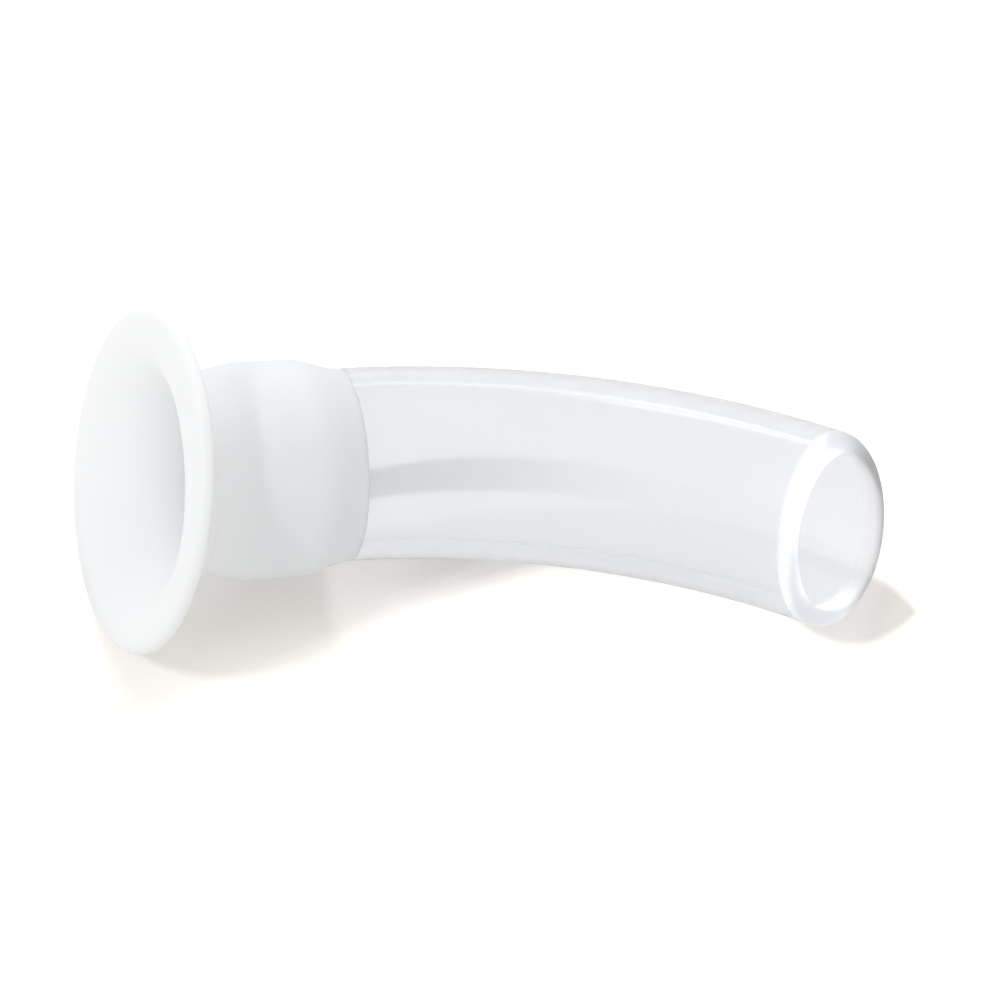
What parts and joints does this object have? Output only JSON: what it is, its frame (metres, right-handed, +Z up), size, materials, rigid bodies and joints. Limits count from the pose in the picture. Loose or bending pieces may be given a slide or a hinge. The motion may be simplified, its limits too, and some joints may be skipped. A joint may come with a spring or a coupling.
{
  "type": "laryngectomy tube",
  "caption": "Curved clear silicone airway tube with a rounded open tip, on a white flared head with a barrel-shaped collar, lying on its side.",
  "frame": {"origin": "centre of the footprint, on the floor that the tube lies on", "axes": "+Z up from the floor; +X from the flared mouth to the tip; -Y towards the side that the tube bends to"},
  "size_m": [0.0634, 0.0264, 0.0255],
  "materials": {
    "white_silicone": "satin opaque white silicone",
    "clear_silicone": "clear, slightly milky silicone"
  },
  "bodies": {
    "root": {"flared_head": "white_silicone", "curved_tube": "clear_silicone"}
  },
  "joints": []
}
